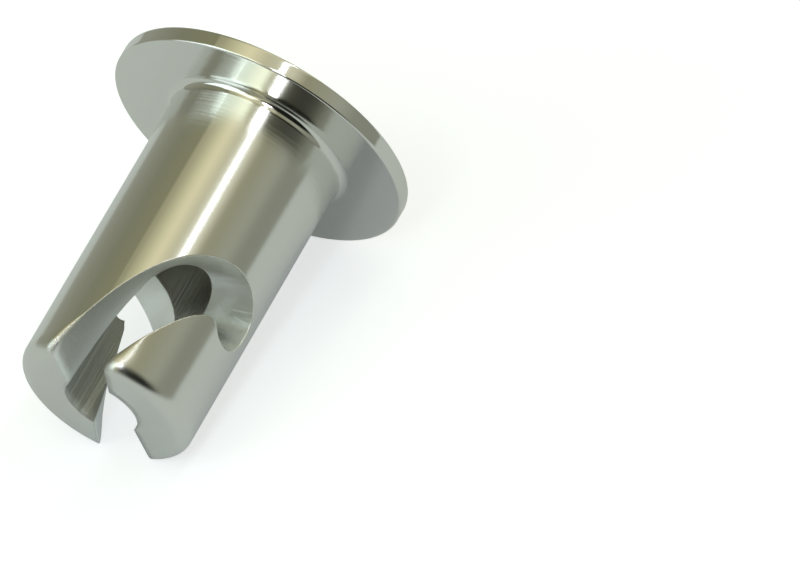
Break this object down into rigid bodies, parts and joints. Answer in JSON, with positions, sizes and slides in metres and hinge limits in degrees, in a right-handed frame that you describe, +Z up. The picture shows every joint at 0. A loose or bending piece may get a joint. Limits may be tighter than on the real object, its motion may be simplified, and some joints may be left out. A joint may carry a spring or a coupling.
{
  "type": "quarter turn panel fastener",
  "caption": "Quarter turn panel fastener stud: oval head with driver slot, plain shank, hollow tail with cam slots that lock on a spring wire.",
  "frame": {"origin": "centre of the bounding box at its base, on the surface that the stud lies on", "axes": "+X is the longest extent, from the head to the tail as the stud lies on its side, +Z is up. The stud's own axis leans 12.6 degrees down towards the tail, because it rests on the rim of the head and on the tail"},
  "size_m": [0.0238, 0.019, 0.0188],
  "materials": {
    "stud": "bright as turned, fine turning marks"
  },
  "bodies": {
    "root": {"stud": "stud"}
  },
  "joints": []
}
